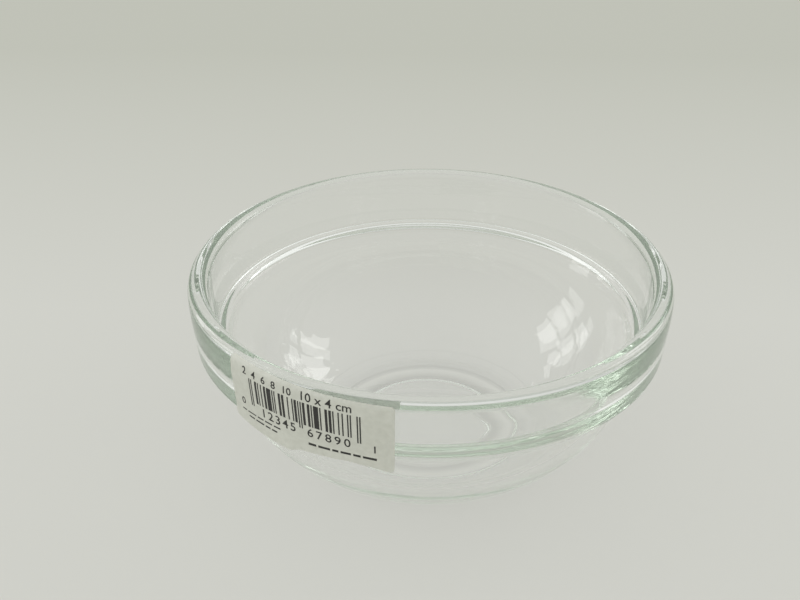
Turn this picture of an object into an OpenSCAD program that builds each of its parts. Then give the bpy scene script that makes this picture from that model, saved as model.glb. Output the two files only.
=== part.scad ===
// Small stacking prep bowl of pressed glass, with the adhesive size label on its collar.
// The bowl is one revolved piece. The origin is at the centre of the foot, on the table.

/* [Bowl] */
// Diameter over the rim
bowl_d = 100; // [85:1:130]
// Height from the table to the top of the rim
bowl_h = 41.5; // [36:0.5:52]
// Thickness of the rim
rim_t = 3.8; // [3:0.1:4.8]
// Radius that rounds each edge of the rim
rim_round = 1.8; // [0.8:0.1:2.2]
// Thickness of the curved wall
wall_t = 3.4; // [2.6:0.1:4]
// Thickness of the floor
floor_t = 4; // [3:0.1:6]

/* [Stacking collar] */
// Height of the collar, from the shoulder's underside to the top of the rim
collar_h = 13.6; // [10:0.2:17]
// Height of the straight band under the rim, down to where the collar starts to taper
band_h = 4; // [3:0.2:6]
// How much the collar's radius narrows from the band to the shoulder
collar_taper = 0.95; // [0.4:0.05:1.6]
// Radius that blends the band into the taper
taper_blend = 12; // [4:1:20]
// How far the wall steps in under the shoulder
step_w = 4.1; // [3:0.1:5]
// How far the step falls from the shoulder to the wall
step_fall = 0.9; // [0.2:0.1:2]
// Radius that rounds the shoulder
shoulder_round = 1.5; // [0.8:0.1:2]
// Radius of the hollow corner under the step
step_fillet = 1.1; // [0.4:0.1:1.8]
// Height of the seat inside, above the shoulder's underside
seat_rise = 2.1; // [1:0.1:3.5]
// How much thicker the collar's wall gets on its way down from the rim to the seat
seat_gain = 1.05; // [0.2:0.05:1.5]
// Width of the seat
seat_w = 1.2; // [0.8:0.1:2]
// How far the seat falls towards its inner edge
seat_fall = 0.1; // [0:0.1:0.8]
// Radius of the hollow corner at the back of the seat
seat_fillet = 0.6; // [0.3:0.1:1.2]
// Radius that rounds the seat's inner edge
seat_round = 1.1; // [0.4:0.1:1.6]
// Height below the seat over which the wall slopes out to its own thickness
throat_h = 3.6; // [2:0.2:6]
// Radius that blends this slope into the wall
throat_round = 8; // [2:1:14]

/* [Curved wall] */
// Radius of the wall's long curve, outside
belly_round = 35.5; // [28:0.5:42]
// Radius of the wall's long curve, inside
bowl_round = 28; // [20:1:36]
// Radius of the curve from the wall to the underside
heel_round = 9; // [5:0.5:13]
// Radius of the curve from the wall to the floor, inside
hollow_round = 5.5; // [3:0.5:10]

/* [Foot] */
// Diameter over the foot ring's flat face
foot_d = 41.8; // [36:0.2:46]
// Width of the foot ring's flat face
foot_w = 5.2; // [3:0.2:7]
// How far the foot ring stands proud of the underside
foot_h = 0.6; // [0.4:0.1:1.2]
// Width of each sloped side of the foot ring
foot_slope = 0.5; // [0.3:0.1:1.5]
// Radius that rounds each edge of the foot ring
foot_round = 0.7; // [0.2:0.1:1]

/* [Label] */
// Width of the label, measured round the collar
label_w = 35.2; // [25:0.2:45]
// Height of the label
label_h = 14.3; // [10:0.1:17]
// Thickness of the label's film
label_t = 0.12; // [0.08:0.01:0.3]
// Thickness of the adhesive between the film and the glass
glue_t = 0.02; // [0.01:0.01:0.05]
// Depth of the label's top edge below the top of the rim
label_drop = 0.6; // [0.5:0.1:3]
// Turn from the front of the bowl to the label's near edge
label_turn = 6.7; // [0:0.1:40]

/* [Hidden] */
$fn = 192;
// Turn covered by one straight piece of a rounded corner
arc_step = 5;
// Share of a side of the outline that the arcs at its two ends may take up
side_share = 0.98;
// Radius at which the wall's straight control lines bend, as a share of the rim's radius
belly_r_share = 0.84;
// Height of that bend, as a share of the height from the table to the shoulder
belly_h_share = 0.412;
// Radius at which the control lines meet the underside, as a share of the rim's radius
heel_r_share = 0.521;

rim_r = bowl_d / 2;
shoulder_z = bowl_h - collar_h;
band_z = bowl_h - band_h;
shoulder_r = rim_r - collar_taper;
seat_z = shoulder_z + seat_rise;
seat_back_r = rim_r - rim_t - seat_gain - collar_taper;
floor_z = foot_h + floor_t;
foot_out = foot_d / 2;
foot_in = foot_out - foot_w;

// Unit vector from a to b
function heading(a, b) = (b - a) / norm(b - a);
// A vector turned a quarter to the left
function left(v) = [-v[1], v[0]];
// A vector turned by the angle a
function turned(v, a) = [v[0] * cos(a) - v[1] * sin(a), v[0] * sin(a) + v[1] * cos(a)];
// Where the line through a along u crosses the line through b along v
function crossing(a, u, b, v) = a + u * ((b - a) * left(v)) / (u * left(v));
// The point of the line through a along u at the height z
function at_height(a, u, z) = a + u * (z - a[1]) / u[1];

// Corners of the outer control line, from the wall's root under the step down to the underside
wall_root = [shoulder_r - step_w, shoulder_z - step_fall];
belly = [rim_r * belly_r_share, shoulder_z * belly_h_share];
heel = [rim_r * heel_r_share, foot_h];

// The inner wall runs parallel to the outer one, below a slope that meets it at the throat
upper_run = heading(wall_root, belly);
lower_run = heading(belly, heel);
inner_root = wall_root - left(upper_run) * wall_t;
inner_low = belly - left(lower_run) * wall_t;
seat_edge = [seat_back_r - seat_w, seat_z - seat_fall];
throat = at_height(inner_root, upper_run, seat_z - throat_h);
inner_belly = crossing(inner_root, upper_run, inner_low, lower_run);
inner_heel = at_height(inner_low, lower_run, floor_z);

// An outline is a list of corners [x, z, radius], and i counts round it
function at(c, i) = c[(i + len(c)) % len(c)];
// The place of corner i
function place(c, i) = [at(c, i)[0], at(c, i)[1]];
// The side from corner i to the next one
function side(c, i) = place(c, i + 1) - place(c, i);
// How far the outline turns at corner i, positive to the left
function turn(c, i) =
    let (u = side(c, i - 1), v = side(c, i))
    atan2(u[0] * v[1] - u[1] * v[0], u * v);
// How far the full arc of corner i would reach along its sides
function reach(c, i) = at(c, i)[2] * tan(abs(turn(c, i)) / 2);
// The share of their radii that the corners at the ends of side i can keep
function kept(c, i) = side_share * norm(side(c, i)) / (reach(c, i) + reach(c, i + 1));
// The radius of corner i, limited by the two sides that it joins
function fillet(c, i) = at(c, i)[2] * min(1, kept(c, i - 1), kept(c, i));

// Corner i as the points of its arc, or as one point where it is sharp
function corner(c, i) =
    let (
        r = fillet(c, i),
        angle = turn(c, i),
        inward = left(heading(place(c, i - 1), place(c, i))) * sign(angle),
        start = place(c, i) + left(inward) * sign(angle) * r * tan(abs(angle) / 2),
        centre = start + inward * r,
        steps = ceil(abs(angle) / arc_step)
    )
    r == 0 ? [place(c, i)] : [for (k = [0:steps]) centre - turned(inward, angle * k / steps) * r];

// The whole outline, with its corners rounded
function rounded(c) = [for (i = [0:len(c) - 1]) each corner(c, i)];

// The section of the glass, from the axis along the underside, up the outside and down the inside
bowl_corners = [
    [0, foot_h, 0],
    [foot_in - foot_slope, foot_h, foot_round],
    [foot_in, 0, foot_round],
    [foot_out, 0, foot_round],
    [foot_out + foot_slope, foot_h, foot_round],
    [heel[0], heel[1], heel_round],
    [belly[0], belly[1], belly_round],
    [wall_root[0], wall_root[1], step_fillet],
    [shoulder_r, shoulder_z, shoulder_round],
    [rim_r, band_z, taper_blend],
    [rim_r, bowl_h, rim_round],
    [rim_r - rim_t, bowl_h, rim_round],
    [seat_back_r, seat_z, seat_fillet],
    [seat_edge[0], seat_edge[1], seat_round],
    [throat[0], throat[1], throat_round],
    [inner_belly[0], inner_belly[1], bowl_round],
    [inner_heel[0], inner_heel[1], hollow_round],
    [0, floor_z, 0]
];

// The label lies on the collar's face, over the rim's rounded edge, and hangs straight down past the shoulder
label_top = bowl_h - label_drop;
label_bottom = label_top - label_h;
leave_z = shoulder_z + shoulder_round;
rim_low_z = bowl_h - rim_round;
// How far the taper narrows the collar at the height z
function taper(z) = collar_taper * max(0, band_z - z) / (band_z - shoulder_z);
// How far the rim's rounding narrows it
function rounding(z) = rim_round - sqrt(pow(rim_round, 2) - pow(max(0, z - rim_low_z), 2));
// Radius of the collar's face at the height z, and straight down from where the label leaves it
function face_r(z) = rim_r - taper(max(z, leave_z)) - rounding(z);
// Heights at which the label's film bends, from the top
rim_bends = [for (a = [90 - arc_step:-arc_step:0]) rim_low_z + rim_round * sin(a)];
label_bends = [for (z = concat(rim_bends, [band_z, leave_z])) if (z < label_top && z > label_bottom) z];
label_heights = concat([label_top], label_bends, [label_bottom]);
label_back = [for (z = label_heights) [face_r(z) + glue_t, z]];
label_face = [for (i = [len(label_back) - 1:-1:0]) label_back[i] + [label_t, 0]];
// Turn that the label's width covers, at the middle of the taper
label_arc = label_w / (shoulder_r + collar_taper / 2) * 180 / PI;

module glass_bowl() {
    color([0.80, 0.86, 0.81, 0.45])
        rotate_extrude() polygon(rounded(bowl_corners));
}

module label() {
    color([0.86, 0.87, 0.82])
        rotate([0, 0, 270 - label_turn - label_arc])
            rotate_extrude(angle = label_arc) polygon(concat(label_back, label_face));
}

glass_bowl();
label();
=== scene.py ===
"""A stacking prep bowl of clear pressed glass with a printed size label, on a pale studio sweep."""

import math

import bpy
from mathutils import Matrix, Vector


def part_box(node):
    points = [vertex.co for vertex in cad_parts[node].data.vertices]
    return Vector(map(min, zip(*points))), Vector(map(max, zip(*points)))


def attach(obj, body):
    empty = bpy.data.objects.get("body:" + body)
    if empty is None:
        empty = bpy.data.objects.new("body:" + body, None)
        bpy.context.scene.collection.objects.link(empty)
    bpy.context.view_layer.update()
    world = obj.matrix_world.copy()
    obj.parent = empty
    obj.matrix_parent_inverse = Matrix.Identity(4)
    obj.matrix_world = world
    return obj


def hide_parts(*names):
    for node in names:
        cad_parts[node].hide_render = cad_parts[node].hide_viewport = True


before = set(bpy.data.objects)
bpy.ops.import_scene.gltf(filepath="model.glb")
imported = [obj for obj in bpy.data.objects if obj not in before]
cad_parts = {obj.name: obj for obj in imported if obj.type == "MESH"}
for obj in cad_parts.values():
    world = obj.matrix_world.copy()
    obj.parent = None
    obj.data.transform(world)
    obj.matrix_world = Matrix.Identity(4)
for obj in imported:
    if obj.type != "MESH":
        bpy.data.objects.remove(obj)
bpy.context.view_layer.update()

MM = 0.001

# Bowl, in millimetres, as the frame has it
rim_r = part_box("glass_bowl")[1].x / MM
bowl_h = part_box("glass_bowl")[1].z / MM
rim_t = 3.8
rim_round = 1.8
wall_t = 3.4
floor_t = 4.0
collar_h = 13.6
band_h = 4.0
collar_taper = 0.95
taper_blend = 12.0
step_w = 4.1
step_fall = 0.9
shoulder_round = 1.5
step_fillet = 1.1
seat_rise = 2.1
seat_gain = 1.05
seat_w = 1.2
seat_fall = 0.1
seat_fillet = 0.6
seat_round = 1.1
throat_h = 3.6
throat_round = 8.0
belly_round = 35.5
heel_round = 9.0
bowl_round = 28.0
hollow_round = 5.5
foot_out = 20.9
foot_w = 5.2
foot_h = 0.6
foot_slope = 0.5
foot_round = 0.7
belly_r_share = 0.84
belly_h_share = 0.412
heel_r_share = 0.521

shoulder_z = bowl_h - collar_h
band_z = bowl_h - band_h
shoulder_r = rim_r - collar_taper
seat_z = shoulder_z + seat_rise
seat_back_r = rim_r - rim_t - seat_gain - collar_taper
floor_z = foot_h + floor_t

# The inner wall is faintly wavy up to the full height, and then less and less up to the top one
wave_full = 16.0
wave_top = 24.0
# Behind the axis the waves have their full height, and the same distance before it only this share
wave_reach = 8.0
wave_front_share = 0.2
# How far a face leans towards the axis, at least, where it is wall and not floor
wall_lean = 0.15

# How finely the glass is turned
longest_step = 1.2
widest_bend = math.radians(6)
turn_steps = 360
merge_gap = 0.002

# Label, in millimetres and degrees
label_w = 35.2
label_h = 14.3
label_t = 0.12
label_bed = 0.03
label_drop = 0.6
label_turn = 6.7
label_tilt = 1.0
label_corner = 0.7
label_corner_steps = 6
label_across_step = 0.8
label_up_step = 0.35
label_crease = 30
# How squarely a face of the film faces the bowl's middle, at least, where it is the adhesive side
adhesive_lean = 0.5
ink_t = 0.02
rim_low_z = bowl_h - rim_round
leave_z = shoulder_z + shoulder_round
label_mid_z = bowl_h - label_drop - label_h / 2
label_mid_r = shoulder_r + collar_taper / 2
label_mid_turn = math.radians(label_turn) + label_w / 2 / label_mid_r

# Where the label's loose lower part starts, and how fast its waviness then grows
loose_top = -2.5
loose_power = 1.5
# Along the label's lower edge, how far it hangs down and stands out, as pairs of place and amount
loose_hang = (
    (-17.6, -0.6), (-13.5, 0.1), (-9.4, 0.5), (-3.0, 0.75), (-1.2, 0.1),
    (2.0, -0.1), (8.9, -0.5), (13.5, -0.1), (17.6, 0.6),
)
loose_stand = ((-17.6, 0.0), (-10.0, 0.1), (-4.5, 0.4), (-2.6, 0.5), (-1.0, 0.0), (17.6, 0.0))


# Shared steps


def turned(a, b, angle):
    """Two measures or directions that are square to each other, both turned by an angle in degrees."""
    turn = math.radians(angle)
    return a * math.cos(turn) - b * math.sin(turn), a * math.sin(turn) + b * math.cos(turn)


def deselect():
    if bpy.context.object and bpy.context.object.mode != "OBJECT":
        bpy.ops.object.mode_set(mode="OBJECT")
    bpy.ops.object.select_all(action="DESELECT")


def named(name):
    piece = bpy.context.object
    piece.name = piece.data.name = name
    return piece


def apply_place():
    bpy.ops.object.transform_apply(location=True, rotation=True, scale=True)


# Camera, in millimetres and degrees

photo_w = 800
focal_length_in_pixels = 1250
lens_share = focal_length_in_pixels / photo_w
sensor_w = 36
nearest_seen = 10
camera_distance = 260.6
camera_dip = 29.26
camera_roll = -0.85
camera_pan = -1.36
camera_tilt = -1.20
rim_centre = Vector((0, 0, bowl_h - rim_t / 2))


def make_camera():
    """A camera that looks down at the rim, and is then panned, tilted and rolled a little."""
    aside = Vector((1, 0, 0))
    ahead, above = turned(Vector((0, 1, 0)), Vector((0, 0, 1)), camera_dip)
    place = (rim_centre - ahead * camera_distance) * MM
    aside, ahead = turned(aside, ahead, camera_pan)
    above, ahead = turned(above, ahead, camera_tilt)
    aside, above = turned(aside, above, camera_roll)
    facing = Matrix((aside, above, -ahead)).transposed()
    bpy.ops.object.camera_add(location=place, rotation=facing.to_euler())
    camera = bpy.context.object
    camera.data.sensor_width = sensor_w
    camera.data.lens = sensor_w * lens_share
    camera.data.clip_start = nearest_seen * MM
    bpy.context.scene.camera = camera


# Glass


def inner_wall():
    """The corners of the inner wall, which runs parallel to the outer one."""
    root = Vector((shoulder_r - step_w, shoulder_z - step_fall))
    belly = Vector((rim_r * belly_r_share, shoulder_z * belly_h_share))
    heel = Vector((rim_r * heel_r_share, foot_h))
    upper = (belly - root).normalized()
    lower = (heel - belly).normalized()
    inner_root = root - Vector((-upper.y, upper.x)) * wall_t
    inner_low = belly - Vector((-lower.y, lower.x)) * wall_t
    throat = inner_root + upper * (seat_z - throat_h - inner_root.y) / upper.y
    gap = inner_low - inner_root
    across = Vector((-lower.y, lower.x))
    inner_belly = inner_root + upper * gap.dot(across) / upper.dot(across)
    inner_heel = inner_low + lower * (floor_z - inner_low.y) / lower.y
    return root, belly, heel, throat, inner_belly, inner_heel


def glass_outline():
    """The section's corners and the radius that rounds each, from the axis round the outside and back."""
    root, belly, heel, throat, inner_belly, inner_heel = inner_wall()
    foot_in = foot_out - foot_w
    return [
        (Vector((0, foot_h)), 0),
        (Vector((foot_in - foot_slope, foot_h)), foot_round),
        (Vector((foot_in, 0)), foot_round),
        (Vector((foot_out, 0)), foot_round),
        (Vector((foot_out + foot_slope, foot_h)), foot_round),
        (heel, heel_round),
        (belly, belly_round),
        (root, step_fillet),
        (Vector((shoulder_r, shoulder_z)), shoulder_round),
        (Vector((rim_r, band_z)), taper_blend),
        (Vector((rim_r, bowl_h)), rim_round),
        (Vector((rim_r - rim_t, bowl_h)), rim_round),
        (Vector((seat_back_r, seat_z)), seat_fillet),
        (Vector((seat_back_r - seat_w, seat_z - seat_fall)), seat_round),
        (throat, throat_round),
        (inner_belly, bowl_round),
        (inner_heel, hollow_round),
        (Vector((0, floor_z)), 0),
    ]


def draw_line(pen, end):
    """Extrudes the selected point straight to the end, in even steps."""
    steps = max(1, math.ceil((end - pen).length / longest_step))
    move = (end - pen) / steps * MM
    for _ in range(steps):
        bpy.ops.mesh.extrude_region_move(TRANSFORM_OT_translate={"value": (move.x, 0, move.y)})
    return end


def draw_corner(pen, corner, after, radius):
    """Draws the line to a corner's arc, then the arc."""
    coming = (corner - pen).normalized()
    going = (after - corner).normalized()
    turn = math.atan2(coming.x * going.y - coming.y * going.x, coming.dot(going))
    reach = radius * math.tan(abs(turn) / 2)
    pen = draw_line(pen, corner - coming * reach)
    inward = Vector((-coming.y, coming.x)) * math.copysign(1, turn)
    centre = (pen + inward * radius) * MM
    steps = math.ceil(max(abs(turn) / widest_bend, abs(turn) * radius / longest_step))
    bpy.ops.mesh.spin(
        steps=steps,
        angle=abs(turn),
        center=(centre.x, 0, centre.y),
        axis=(0, math.copysign(1, turn), 0),
    )
    return corner + going * reach


def between(value, low, high):
    """How far a value is on its way from low to high, from nought to one."""
    return min(1, max(0, (value - low) / (high - low)))


def mark_waves(piece):
    """Marks how wavy each point of the inner wall is."""
    waviness = piece.data.attributes.new("waviness", "FLOAT", "POINT")
    for point, mark in zip(piece.data.vertices, waviness.data):
        lean = -point.normal.xy.dot(point.co.xy.normalized())
        if lean > wall_lean and point.normal.z > 0:
            low_share = between(point.co.z / MM, wave_top, wave_full)
            back_share = between(point.co.y / MM, -wave_reach, wave_reach)
            mark.value = low_share * (wave_front_share + (1 - wave_front_share) * back_share)


def make_glass():
    deselect()
    outline = glass_outline()
    start = outline[0][0]
    bpy.ops.mesh.primitive_plane_add(size=MM, location=(start.x * MM, 0, start.y * MM))
    bpy.ops.object.mode_set(mode="EDIT")
    bpy.ops.mesh.select_all(action="SELECT")
    bpy.ops.mesh.merge(type="CENTER")
    pen = start
    for (corner, radius), (after, _) in zip(outline[1:], outline[2:] + outline[:1]):
        if radius:
            pen = draw_corner(pen, corner, after, radius)
        else:
            pen = draw_line(pen, corner)
    bpy.ops.mesh.select_all(action="SELECT")
    bpy.ops.mesh.spin(steps=turn_steps, angle=math.tau, center=(0, 0, 0), axis=(0, 0, 1))
    bpy.ops.mesh.select_all(action="SELECT")
    bpy.ops.mesh.remove_doubles(threshold=merge_gap * MM)
    bpy.ops.mesh.normals_make_consistent(inside=False)
    bpy.ops.object.mode_set(mode="OBJECT")
    apply_place()
    bpy.ops.object.shade_smooth()
    piece = named("bowl")
    mark_waves(piece)
    return piece


# Label


def face_r(z):
    """Radius of the collar's face at the height z, and straight down below its taper."""
    taper = collar_taper * max(0, band_z - max(z, leave_z)) / (band_z - shoulder_z)
    rounding = rim_round - math.sqrt(rim_round ** 2 - max(0, z - rim_low_z) ** 2)
    return rim_r - taper - rounding


def along(pairs, place):
    """The amount at a place, between the pairs of place and amount on either side of it."""
    for (start, before), (end, after) in zip(pairs, pairs[1:]):
        if place <= end:
            share = max(0, place - start) / (end - start)
            return before + (after - before) * share
    return pairs[-1][1]


def wrap_on_collar(piece, lift):
    """Bends a flat piece, laid out in millimetres about the label's middle, on to the collar."""
    for point in piece.data.vertices:
        across, up = point.co.x, point.co.y
        loose = max(0, (loose_top - up) / (loose_top + label_h / 2)) ** loose_power
        up = up - along(loose_hang, across) * loose
        stand = along(loose_stand, across) * loose
        up, across = turned(up, across, label_tilt)
        z = label_mid_z + up
        r = face_r(z) + lift + stand
        turn = label_mid_turn - across / label_mid_r
        point.co = Vector((-r * math.sin(turn), -r * math.cos(turn), z)) * MM


def cut_across(places, side):
    """Cuts a flat mesh at places along its side 0 or 1, so that it can bend there."""
    for place in places:
        bpy.ops.mesh.select_all(action="SELECT")
        middle = Vector((0, 0, 0))
        middle[side] = place
        facing = Vector((0, 0, 0))
        facing[side] = 1
        bpy.ops.mesh.bisect(plane_co=middle, plane_no=facing)


def even_places(size, step):
    """Places about a step apart that divide a size evenly about its middle."""
    count = round(size / step)
    return [size * (i / count - 0.5) for i in range(1, count)]


def thicken(piece, thickness):
    """Gives a sheet its thickness, outwards."""
    solid = piece.modifiers.new("thickness", "SOLIDIFY")
    solid.thickness = thickness * MM
    solid.offset = 1
    bpy.ops.object.modifier_apply(modifier=solid.name)


def make_label():
    deselect()
    bpy.ops.mesh.primitive_plane_add(size=1)
    bpy.context.object.scale = (label_w, label_h, 1)
    apply_place()
    bpy.ops.object.mode_set(mode="EDIT")
    bpy.ops.mesh.select_all(action="SELECT")
    bpy.ops.mesh.bevel(offset=label_corner, affect="VERTICES", segments=label_corner_steps, profile=0.5)
    cut_across(even_places(label_w, label_across_step), 0)
    cut_across(even_places(label_h, label_up_step), 1)
    bpy.ops.object.mode_set(mode="OBJECT")
    piece = named("size_label")
    wrap_on_collar(piece, -label_bed)
    thicken(piece, label_t)
    # Faces on the adhesive side get the second material, whose paler tones are painted light shining through
    # the film
    for face in piece.data.polygons:
        if -face.normal.dot(face.center.normalized()) > adhesive_lean:
            face.material_index = 1
    bpy.ops.object.shade_smooth_by_angle(angle=math.radians(label_crease))
    return piece


# Print, placed in millimetres from the label's middle
bar_top = 4.3
bar_left = -12.4
bar_module = 23.9 / 95
bar_long = 6.25
bar_short = 5.25
dash_gap = 0.45
text_weight = 0.02
text_curve_steps = 3
bar_guard = (1, 1, 1)
bar_middle = (1, 1, 1, 1, 1)
bar_left_digits = ((3, 2, 1, 1), (2, 1, 2, 2), (1, 4, 1, 1), (1, 1, 3, 2), (1, 2, 3, 1), (3, 1, 1, 2))
bar_right_digits = ((2, 2, 2, 1), (1, 1, 4, 1), (1, 3, 2, 1), (2, 1, 1, 3), (1, 2, 1, 3), (1, 1, 1, 4))
# The bowl's size in words, with its left, base line and height of type
size_line = ("10 x 4 cm", -0.55, 4.8, 2.6)
# Rows of digits, each with its left, spacing, base line and height of type
digit_rows = (
    (("2", "4", "6", "8", "10"), -14.1, 2.45, 4.8, 2.2),
    ("0", -15.3, 0, -2.8, 2.2),
    ("12345", -10.0, 1.75, -3.4, 2.75),
    ("67890", 0.7, 1.86, -3.4, 2.75),
    ("1", 13.4, 0, -3.7, 2.35),
)
# Rows of dashes by their widths, each with its left, top and thickness
dash_rows = (
    ((1.1, 2.2, 1.5, 1.8, 1.6), -15.4, -4.1, 0.28),
    ((1.5, 2.1, 1.2, 1.3), -13.6, -5.0, 0.28),
    ((1.6, 2.4, 1.2, 2.0, 1.4, 2.6), 0.9, -4.9, 0.5),
)


def add_mark(left, top, width, height):
    """A plain bar or dash."""
    bpy.ops.mesh.primitive_plane_add(size=1, location=(left + width / 2, top - height / 2, 0))
    bpy.context.object.scale = (width, height, 1)
    return bpy.context.object


def add_bars():
    """Bars in an invented pattern, with long guard bars at the ends and in the middle."""
    bars, x = [], bar_left
    runs = [(bar_guard, bar_long, True)]
    runs += [(digit, bar_short, False) for digit in bar_left_digits]
    runs += [(bar_middle, bar_long, False)]
    runs += [(digit, bar_short, True) for digit in bar_right_digits]
    runs += [(bar_guard, bar_long, True)]
    for widths, height, dark in runs:
        for width in widths:
            if dark:
                bars.append(add_mark(x, bar_top, width * bar_module, height))
            x += width * bar_module
            dark = not dark
    return bars


def add_text(words, left, base, size):
    """Plain type, made a flat mesh."""
    bpy.ops.object.text_add(location=(left, base, 0))
    text = bpy.context.object
    text.data.body = words
    text.data.size = size
    text.data.offset = text_weight
    text.data.resolution_u = text_curve_steps
    bpy.ops.object.convert(target="MESH")
    return bpy.context.object


def add_digits(digits, left, spacing, base, size):
    """A row of digits with even spaces between their left sides."""
    return [add_text(digit, left + spacing * i, base, size) for i, digit in enumerate(digits)]


def add_dashes(widths, left, top, height):
    """A row of plain dashes, where small print would be."""
    dashes = []
    for width in widths:
        dashes.append(add_mark(left, top, width, height))
        left += width + dash_gap
    return dashes


def make_print():
    deselect()
    marks = add_bars()
    marks.append(add_text(*size_line))
    for row in digit_rows:
        marks += add_digits(*row)
    for row in dash_rows:
        marks += add_dashes(*row)
    deselect()
    for mark in marks:
        mark.select_set(True)
    bpy.context.view_layer.objects.active = marks[0]
    bpy.ops.object.join()
    apply_place()
    bpy.ops.object.mode_set(mode="EDIT")
    cut_across(even_places(label_h, label_up_step), 1)
    bpy.ops.object.mode_set(mode="OBJECT")
    piece = named("label_print")
    wrap_on_collar(piece, label_t - label_bed)
    thicken(piece, ink_t)
    return piece


# Materials

# The waves that the pressing leaves in the inner wall, their height in millimetres, drawn out upright
wave_height = 0.12
waves_per_metre = 230
wave_draw = (1, 1, 0.45)
glass_bend = 1.52
glass_tint = (0.20, 0.43, 0.17)
tint_density = 4.8
film_roughness = 0.5
mottles_per_metre = 900
film_dull = (0.56, 0.57, 0.51)
film_bright = (0.62, 0.63, 0.57)
# The adhesive side's tones are painted light: paler than the film, they stand for the light that shines
# through the film to its back
adhesive_painted_light_dull = (0.90, 0.97, 0.86)
adhesive_painted_light_bright = (0.93, 1.0, 0.89)
ink_tone = (0.02, 0.02, 0.018)


def shader_of(material):
    return next(n for n in material.node_tree.nodes if n.type == "BSDF_PRINCIPLED")


def new_material(name):
    material = bpy.data.materials.new(name)
    material.use_nodes = True
    return material


def clear_glass():
    """Clear glass with a green tint that deepens with its thickness, and the faint waves of a pressing."""
    material = new_material("clear_glass")
    tree = material.node_tree
    shader = shader_of(material)
    shader.inputs["Base Color"].default_value = (1, 1, 1, 1)
    shader.inputs["Roughness"].default_value = 0.0
    shader.inputs["IOR"].default_value = glass_bend
    shader.inputs["Transmission Weight"].default_value = 1
    absorb = tree.nodes.new("ShaderNodeVolumeAbsorption")
    absorb.inputs["Color"].default_value = (*glass_tint, 1)
    absorb.inputs["Density"].default_value = tint_density
    output = next(n for n in tree.nodes if n.type == "OUTPUT_MATERIAL")
    tree.links.new(absorb.outputs["Volume"], output.inputs["Volume"])
    place = tree.nodes.new("ShaderNodeTexCoord")
    drawn = tree.nodes.new("ShaderNodeVectorMath")
    drawn.operation = "MULTIPLY"
    drawn.inputs[1].default_value = wave_draw
    waves = tree.nodes.new("ShaderNodeTexNoise")
    waves.inputs["Scale"].default_value = waves_per_metre
    waves.inputs["Detail"].default_value = 1
    waviness = tree.nodes.new("ShaderNodeAttribute")
    waviness.attribute_name = "waviness"
    bump = tree.nodes.new("ShaderNodeBump")
    bump.inputs["Distance"].default_value = wave_height * MM
    tree.links.new(place.outputs["Object"], drawn.inputs[0])
    tree.links.new(drawn.outputs["Vector"], waves.inputs["Vector"])
    tree.links.new(waviness.outputs["Fac"], bump.inputs["Strength"])
    tree.links.new(waves.outputs["Fac"], bump.inputs["Height"])
    tree.links.new(bump.outputs["Normal"], shader.inputs["Normal"])
    return material


def label_film(name, dull, bright):
    """A satin film, faintly mottled between two tones."""
    material = new_material(name)
    tree = material.node_tree
    shader = shader_of(material)
    shader.inputs["Roughness"].default_value = film_roughness
    place = tree.nodes.new("ShaderNodeTexCoord")
    mottle = tree.nodes.new("ShaderNodeTexNoise")
    mottle.inputs["Scale"].default_value = mottles_per_metre
    mottle.inputs["Detail"].default_value = 4
    tones = tree.nodes.new("ShaderNodeValToRGB")
    tones.color_ramp.elements[0].position = 0.3
    tones.color_ramp.elements[0].color = (*dull, 1)
    tones.color_ramp.elements[1].position = 0.7
    tones.color_ramp.elements[1].color = (*bright, 1)
    tree.links.new(place.outputs["Object"], mottle.inputs["Vector"])
    tree.links.new(mottle.outputs["Fac"], tones.inputs["Fac"])
    tree.links.new(tones.outputs["Color"], shader.inputs["Base Color"])
    return material


def label_ink():
    material = new_material("label_ink")
    shader = shader_of(material)
    shader.inputs["Base Color"].default_value = (*ink_tone, 1)
    shader.inputs["Roughness"].default_value = film_roughness
    return material


# Floor and light

# The floor's width, and the places where its painted shade, the light falling off into the distance, starts
# and ends, in metres
floor_w = 40
floor_near = 0.05
floor_far = 0.25
floor_near_tone = (0.625, 0.63, 0.585)
floor_far_painted_shade_tone = (0.52, 0.53, 0.47)
floor_glow_share = 0.8
# Painted shade of the floor by radius in millimetres: a painted shadow where the foot darkens it, and a
# painted caustic where the foot gathers the light under it
contact_reach = 30.0
foot_painted_shadow_and_light = (
    (0.0, 1.0), (15.4, 1.0), (16.2, 0.88), (17.0, 0.9), (18.8, 1.06),
    (19.8, 1.1), (20.7, 0.92), (21.6, 0.93), (24.0, 1.0),
)


def seen_ray(tree):
    """One for rays that the camera sees by, straight or in the glass, and nought for light on the pieces."""
    path = tree.nodes.new("ShaderNodeLightPath")
    seen = path.outputs["Is Camera Ray"]
    for kind in ("Is Glossy Ray", "Is Transmission Ray"):
        either = tree.nodes.new("ShaderNodeMath")
        either.operation = "MAXIMUM"
        tree.links.new(seen, either.inputs[0])
        tree.links.new(path.outputs[kind], either.inputs[1])
        seen = either.outputs["Value"]
    return seen


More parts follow.
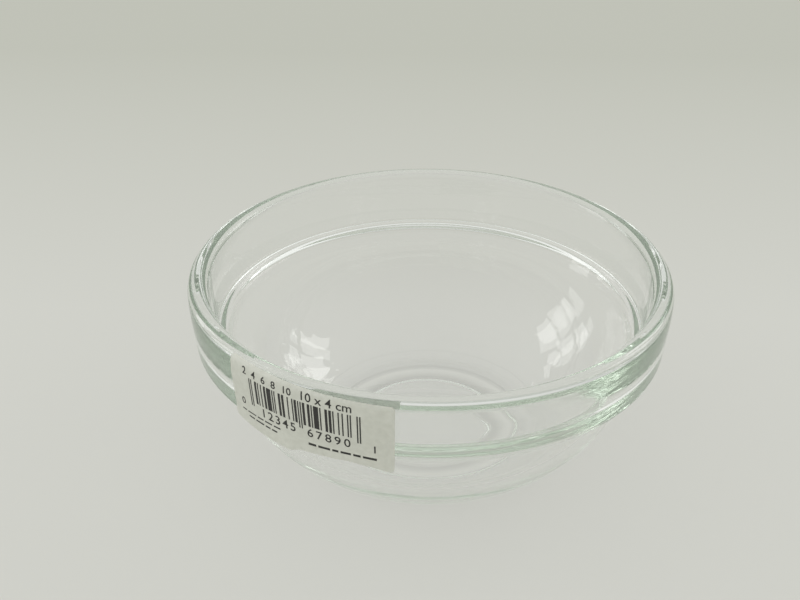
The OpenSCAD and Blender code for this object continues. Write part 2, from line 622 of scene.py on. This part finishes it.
def floor_shade(tree):
    """The sweep's tone, with a painted shade that darkens it into the distance, and a painted shadow and
    painted caustic ring where the foot stands on it.
    """
    place = tree.nodes.new("ShaderNodeTexCoord")
    axes = tree.nodes.new("ShaderNodeSeparateXYZ")
    distance = tree.nodes.new("ShaderNodeMapRange")
    distance.inputs["From Min"].default_value = floor_near
    distance.inputs["From Max"].default_value = floor_far
    tones = tree.nodes.new("ShaderNodeValToRGB")
    tones.color_ramp.elements[0].color = (*floor_near_tone, 1)
    tones.color_ramp.elements[1].color = (*floor_far_painted_shade_tone, 1)
    tree.links.new(place.outputs["Object"], axes.inputs["Vector"])
    tree.links.new(axes.outputs["Y"], distance.inputs["Value"])
    tree.links.new(distance.outputs["Result"], tones.inputs["Fac"])
    radius = tree.nodes.new("ShaderNodeVectorMath")
    radius.operation = "LENGTH"
    reach = tree.nodes.new("ShaderNodeMapRange")
    reach.inputs["From Max"].default_value = contact_reach * MM
    # Painted shadow and painted caustic ring under the foot, by radius
    contact = tree.nodes.new("ShaderNodeValToRGB")
    while len(contact.color_ramp.elements) < len(foot_painted_shadow_and_light):
        contact.color_ramp.elements.new(1)
    for element, (place_r, shade) in zip(contact.color_ramp.elements, foot_painted_shadow_and_light):
        element.position = place_r / contact_reach
        element.color = (shade, shade, shade, 1)
    shaded = tree.nodes.new("ShaderNodeVectorMath")
    shaded.operation = "MULTIPLY"
    tree.links.new(place.outputs["Object"], radius.inputs[0])
    tree.links.new(radius.outputs["Value"], reach.inputs["Value"])
    tree.links.new(reach.outputs["Result"], contact.inputs["Fac"])
    tree.links.new(tones.outputs["Color"], shaded.inputs[0])
    tree.links.new(contact.outputs["Color"], shaded.inputs[1])
    return shaded.outputs["Vector"]


def make_floor():
    """A pale sweep, part lit from within, so that its tone stays even and the shadow on it is faint."""
    deselect()
    bpy.ops.mesh.primitive_plane_add(size=floor_w, location=(0, 0, 0))
    floor = named("floor")
    material = new_material("pale_sweep")
    tree = material.node_tree
    shader = shader_of(material)
    shader.inputs["Roughness"].default_value = 1.0
    shader.inputs["Specular IOR Level"].default_value = 0.0
    glow = tree.nodes.new("ShaderNodeEmission")
    for base in (shader.inputs["Base Color"], glow.inputs["Color"]):
        tree.links.new(floor_shade(tree), base)
    glow.inputs["Strength"].default_value = 1.0
    share = tree.nodes.new("ShaderNodeMath")
    share.operation = "MULTIPLY"
    share.inputs[1].default_value = floor_glow_share
    mix = tree.nodes.new("ShaderNodeMixShader")
    output = next(n for n in tree.nodes if n.type == "OUTPUT_MATERIAL")
    tree.links.new(seen_ray(tree), share.inputs[0])
    tree.links.new(share.outputs["Value"], mix.inputs["Fac"])
    tree.links.new(shader.outputs["BSDF"], mix.inputs[1])
    tree.links.new(glow.outputs["Emission"], mix.inputs[2])
    tree.links.new(mix.outputs["Shader"], output.inputs["Surface"])
    floor.data.materials.append(material)


# The point that the windows face, and each pane's name, middle and width, as shares of the window's height
window_aim = Vector((0, 0, 0.03))
window_panes = (("narrow", -0.36, 0.26), ("wide", 0.2, 0.44))


def make_window(name, place, height, radiance):
    """Two upright panes of soft light that face the bowl."""
    deselect()
    facing = (window_aim - Vector(place)).to_track_quat("-Z", "Y")
    for pane, middle, width in window_panes:
        spot = Vector(place) + facing @ Vector((middle * height, 0, 0))
        bpy.ops.object.light_add(type="AREA", location=spot, rotation=facing.to_euler())
        light = bpy.context.object
        light.name = f"{name}_{pane}"
        light.data.shape = "RECTANGLE"
        light.data.size = width * height
        light.data.size_y = height
        light.data.energy = radiance * math.pi * width * height * height


# The room's even light on the pieces, and the tones that the glass shows of it
room_tone = (0.98, 0.98, 0.96)
room_low_tone = (0.52, 0.525, 0.51)
room_high_tone = (1.0, 1.0, 0.98)
# How far up the room has its high tone, where its light changes to the front, and its share there
room_high_share = 0.75
room_front = -1
room_back = 0.2
room_front_share = 0.4


def make_world():
    """A pale room of even light, which the glass shows bright overhead and dimmer towards the front."""
    world = bpy.data.worlds.new("studio")
    bpy.context.scene.world = world
    world.use_nodes = True
    tree = world.node_tree
    even = next(n for n in tree.nodes if n.type == "BACKGROUND")
    even.inputs["Color"].default_value = (*room_tone, 1)
    shown = tree.nodes.new("ShaderNodeBackground")
    place = tree.nodes.new("ShaderNodeTexCoord")
    axes = tree.nodes.new("ShaderNodeSeparateXYZ")
    height = tree.nodes.new("ShaderNodeValToRGB")
    height.color_ramp.elements[0].position = 0.0
    height.color_ramp.elements[0].color = (*room_low_tone, 1)
    height.color_ramp.elements[1].position = room_high_share
    height.color_ramp.elements[1].color = (*room_high_tone, 1)
    depth = tree.nodes.new("ShaderNodeMapRange")
    depth.inputs["From Min"].default_value = room_front
    depth.inputs["From Max"].default_value = room_back
    depth.inputs["To Min"].default_value = room_front_share
    depth.inputs["To Max"].default_value = 1
    tone = tree.nodes.new("ShaderNodeVectorMath")
    tone.operation = "SCALE"
    tree.links.new(place.outputs["Generated"], axes.inputs["Vector"])
    tree.links.new(axes.outputs["Z"], height.inputs["Fac"])
    tree.links.new(axes.outputs["Y"], depth.inputs["Value"])
    tree.links.new(height.outputs["Color"], tone.inputs[0])
    tree.links.new(depth.outputs["Result"], tone.inputs["Scale"])
    tree.links.new(tone.outputs["Vector"], shown.inputs["Color"])
    # Past the floor, the camera sees the floor's far tone, with its painted shade
    backdrop = tree.nodes.new("ShaderNodeBackground")
    backdrop.inputs["Color"].default_value = (*floor_far_painted_shade_tone, 1)
    output = next(n for n in tree.nodes if n.type == "OUTPUT_WORLD")
    path = tree.nodes.new("ShaderNodeLightPath")
    sky = even
    for ray, background in ((seen_ray(tree), shown), (path.outputs["Is Camera Ray"], backdrop)):
        mix = tree.nodes.new("ShaderNodeMixShader")
        tree.links.new(ray, mix.inputs["Fac"])
        tree.links.new(sky.outputs[0], mix.inputs[1])
        tree.links.new(background.outputs["Background"], mix.inputs[2])
        sky = mix
    tree.links.new(sky.outputs[0], output.inputs["Surface"])


# How often light may pass or mirror in the glass, and bounce off the floor
glass_bounces = 48
floor_bounces = 6

make_camera()
bowl = make_glass()
bowl.data.materials.append(clear_glass())
label = make_label()
label.data.materials.append(label_film("label_film", film_dull, film_bright))
label.data.materials.append(label_film("label_back", adhesive_painted_light_dull, adhesive_painted_light_bright))
ink = make_print()
ink.data.materials.append(label_ink())

for piece in (bowl, label, ink):
    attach(piece, "root")
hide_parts("glass_bowl")
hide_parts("label")

make_floor()
make_window("window_left", (-0.635, 0.17, 0.25), 0.42, 1.9)
make_window("window_right", (0.53, 0.30, 0.38), 0.36, 2.0)
make_world()
bpy.context.scene.view_settings.view_transform = "Standard"
light_paths = bpy.context.scene.cycles
light_paths.max_bounces = glass_bounces
light_paths.glossy_bounces = glass_bounces
light_paths.transmission_bounces = glass_bounces
light_paths.diffuse_bounces = floor_bounces
